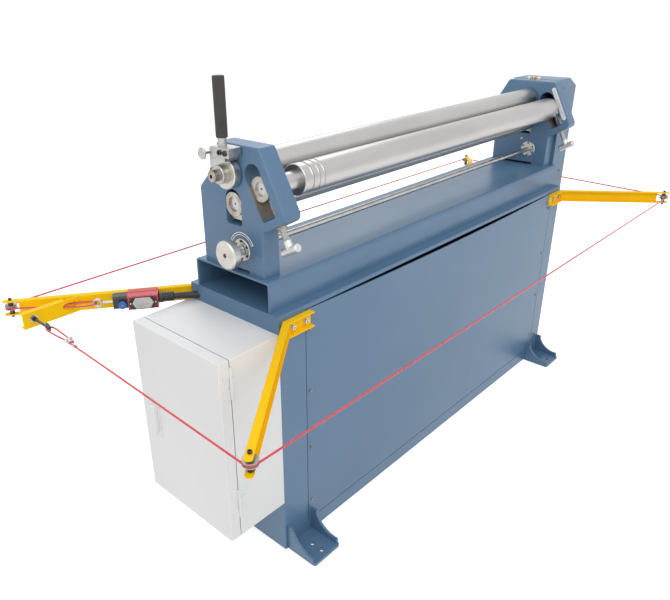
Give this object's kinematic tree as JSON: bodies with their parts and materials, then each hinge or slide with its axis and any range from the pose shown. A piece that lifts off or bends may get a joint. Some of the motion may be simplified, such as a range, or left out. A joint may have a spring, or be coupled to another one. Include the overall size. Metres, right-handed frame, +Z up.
{
  "type": "plate rolling machine",
  "caption": "Motor-driven slip roll bender on a sheet cabinet stand: pinch rolls and a screw-set bending roll between cast housings, gear cover, control box and trip-rope stop.",
  "frame": {"origin": "on the floor at the middle of the four anchor holes, under the middle of the stand", "axes": "+X from the control box end to the gear cover end along the rolls, -Y the operator's front, +Z up"},
  "size_m": [2.4658, 1.0539, 1.384],
  "materials": {
    "blue_paint": "smooth semi-gloss grey-blue paint",
    "yellow_paint": "semi-gloss yellow-orange paint",
    "grey_paint": "light grey textured powder coat",
    "ground_steel": "ground and oiled steel",
    "turned_steel": "turned steel",
    "zinc": "zinc plated steel",
    "dark_casting": "dark painted casting",
    "chain_steel": "oiled dark steel",
    "brass": "dull brass",
    "scale_white": "white scale plate with black marks",
    "black_plastic": "black moulded plastic",
    "grip_rubber": "smooth charcoal rubber",
    "red_plastic": "red moulded plastic",
    "blue_plastic": "blue moulded plastic",
    "rope_red": "red plastic covered rope"
  },
  "bodies": {
    "frame": {"anchor_feet": "blue_paint", "arm_bolts": "zinc", "arm_front_far": "yellow_paint", "arm_front_near": "yellow_paint", "arm_rear_far": "yellow_paint", "arm_rear_near": "yellow_paint", "bushes_and_nuts": "brass", "conduit": "black_plastic", "control_box": "grey_paint", "control_gear": "black_plastic", "door_hinges": "zinc", "drive_chain": "chain_steel", "drive_motor": "dark_casting", "far_housing": "blue_paint", "flange_screws": "zinc", "front_panel": "blue_paint", "gear_cover": "blue_paint", "gearbox": "dark_casting", "near_housing": "blue_paint", "oil_cups": "brass", "panel_screws": "zinc", "rear_panel": "blue_paint", "rope_clamps": "zinc", "rope_eyebolt": "zinc", "scale_plates": "scale_white", "shaft_flanges": "zinc", "stand_frame": "blue_paint", "switch_arm": "yellow_paint", "switch_body": "black_plastic", "switch_cover": "red_plastic", "top_beam": "blue_paint", "trip_rope": "rope_red"},
    "top_roll": {"top_roll": "ground_steel", "top_gear": "turned_steel", "top_sprocket": "chain_steel"},
    "lower_carriage": {"lower_blocks": "turned_steel"},
    "lower_roll": {"lower_roll": "ground_steel", "lower_gear": "turned_steel"},
    "bend_carriage": {"bend_blocks": "turned_steel"},
    "bend_roll": {"bend_roll": "ground_steel"},
    "bend_screw_near": {"bend_screw_near": "zinc"},
    "bend_screw_far": {"bend_screw_far": "zinc"},
    "setting_shaft": {"cross_shaft": "turned_steel", "lift_cams": "turned_steel", "adjust_knob": "zinc"},
    "release_lever": {"release_disc": "turned_steel", "lever_clamp": "zinc", "lever_rod": "zinc", "lever_grip": "grip_rubber"},
    "index_plunger": {"index_plunger": "zinc"},
    "drive_sprocket": {"drive_sprocket": "chain_steel"},
    "box_door": {"box_door": "grey_paint"},
    "door_handle": {"door_handle": "grey_paint"},
    "reset_knob": {"reset_knob": "blue_plastic"},
    "pull_eye": {"pull_eye": "zinc"},
    "pulley_front_near": {"pulley_front_near": "zinc"},
    "pulley_front_far": {"pulley_front_far": "zinc"},
    "pulley_rear_far": {"pulley_rear_far": "zinc"},
    "pulley_rear_near": {"pulley_rear_near": "zinc"}
  },
  "joints": [
    {"name": "top_roll_spin", "type": "hinge", "parent": "frame", "child": "top_roll", "pos_m": [0, -0.014, 1.151], "axis": [1, 0, 0], "continuous": true},
    {"name": "lower_roll_lift", "type": "slide", "parent": "frame", "child": "lower_carriage", "axis": [0, 0, 1], "range_m": [-0.008, 0]},
    {"name": "lower_roll_spin", "type": "hinge", "parent": "lower_carriage", "child": "lower_roll", "pos_m": [0, -0.014, 1.066], "axis": [1, 0, 0], "continuous": true},
    {"name": "setting_shaft_turn", "type": "hinge", "parent": "frame", "child": "setting_shaft", "pos_m": [0, -0.04, 0.948], "axis": [1, 0, 0], "range_deg": [-240, 0]},
    {"name": "bend_roll_lift", "type": "slide", "parent": "frame", "child": "bend_carriage", "axis": [0, 0.4772, 0.8788], "range_m": [-0.045, 0.004]},
    {"name": "bend_roll_spin", "type": "hinge", "parent": "bend_carriage", "child": "bend_roll", "pos_m": [0, -0.11, 1.1205], "axis": [1, 0, 0], "continuous": true},
    {"name": "bend_screw_near_turn", "type": "hinge", "parent": "bend_carriage", "child": "bend_screw_near", "pos_m": [-0.80475, -0.11, 1.1205], "axis": [0, 0.4772, 0.8788], "range_deg": [-4060, 370]},
    {"name": "bend_screw_far_turn", "type": "hinge", "parent": "bend_carriage", "child": "bend_screw_far", "pos_m": [0.82075, -0.11, 1.1205], "axis": [0, 0.4772, 0.8788], "range_deg": [-4060, 370]},
    {"name": "release_lever_turn", "type": "hinge", "parent": "frame", "child": "release_lever", "pos_m": [-0.85, -0.014, 1.151], "axis": [1, 0, 0], "range_deg": [-90, 0]},
    {"name": "index_plunger_pull", "type": "slide", "parent": "release_lever", "child": "index_plunger", "axis": [-1, 0, 0], "range_m": [0, 0.008], "stiffness_N_per_m": 400, "springref_m": -0.004},
    {"name": "drive_sprocket_spin", "type": "hinge", "parent": "frame", "child": "drive_sprocket", "pos_m": [0.92, -0.014, 0.4], "axis": [1, 0, 0], "continuous": true},
    {"name": "box_door_swing", "type": "hinge", "parent": "frame", "child": "box_door", "pos_m": [-1.02175, -0.1873, 0.466], "axis": [0, 0, 1], "range_deg": [0, 110]},
    {"name": "door_handle_turn", "type": "hinge", "parent": "box_door", "child": "door_handle", "pos_m": [-1.06, 0.12, 0.495], "axis": [-1, 0, 0], "range_deg": [0, 90]},
    {"name": "reset_knob_push", "type": "slide", "parent": "frame", "child": "reset_knob", "axis": [0.5825, 0.8129, 0], "range_m": [0, 0.003], "stiffness_N_per_m": 400, "springref_m": -0.003},
    {"name": "pull_eye_pull", "type": "slide", "parent": "frame", "child": "pull_eye", "axis": [-0.8129, 0.5825, 0], "range_m": [0, 0.004], "stiffness_N_per_m": 3000, "springref_m": -0.004},
    {"name": "pulley_front_near_spin", "type": "hinge", "parent": "frame", "child": "pulley_front_near", "pos_m": [-1.256, -0.518, 0.763], "axis": [0, 0, 1], "continuous": true},
    {"name": "pulley_front_far_spin", "type": "hinge", "parent": "frame", "child": "pulley_front_far", "pos_m": [1.09, -0.525, 0.763], "axis": [0, 0, 1], "continuous": true},
    {"name": "pulley_rear_far_spin", "type": "hinge", "parent": "frame", "child": "pulley_rear_far", "pos_m": [1.17, 0.463, 0.763], "axis": [0, 0, 1], "continuous": true},
    {"name": "pulley_rear_near_spin", "type": "hinge", "parent": "frame", "child": "pulley_rear_near", "pos_m": [-1.251, 0.493, 0.763], "axis": [0, 0, 1], "continuous": true}
  ],
  "couplings": [
    {"joint": "lower_roll_spin", "follows": "top_roll_spin", "ratio": -1},
    {"joint": "drive_sprocket_spin", "follows": "top_roll_spin", "ratio": 1.3333},
    {"joint": "setting_shaft_turn", "follows": "lower_roll_lift", "rad_per_m": 523.6},
    {"joint": "bend_screw_near_turn", "follows": "bend_roll_lift", "rad_per_m": 1570.8},
    {"joint": "bend_screw_far_turn", "follows": "bend_roll_lift", "rad_per_m": 1570.8}
  ]
}
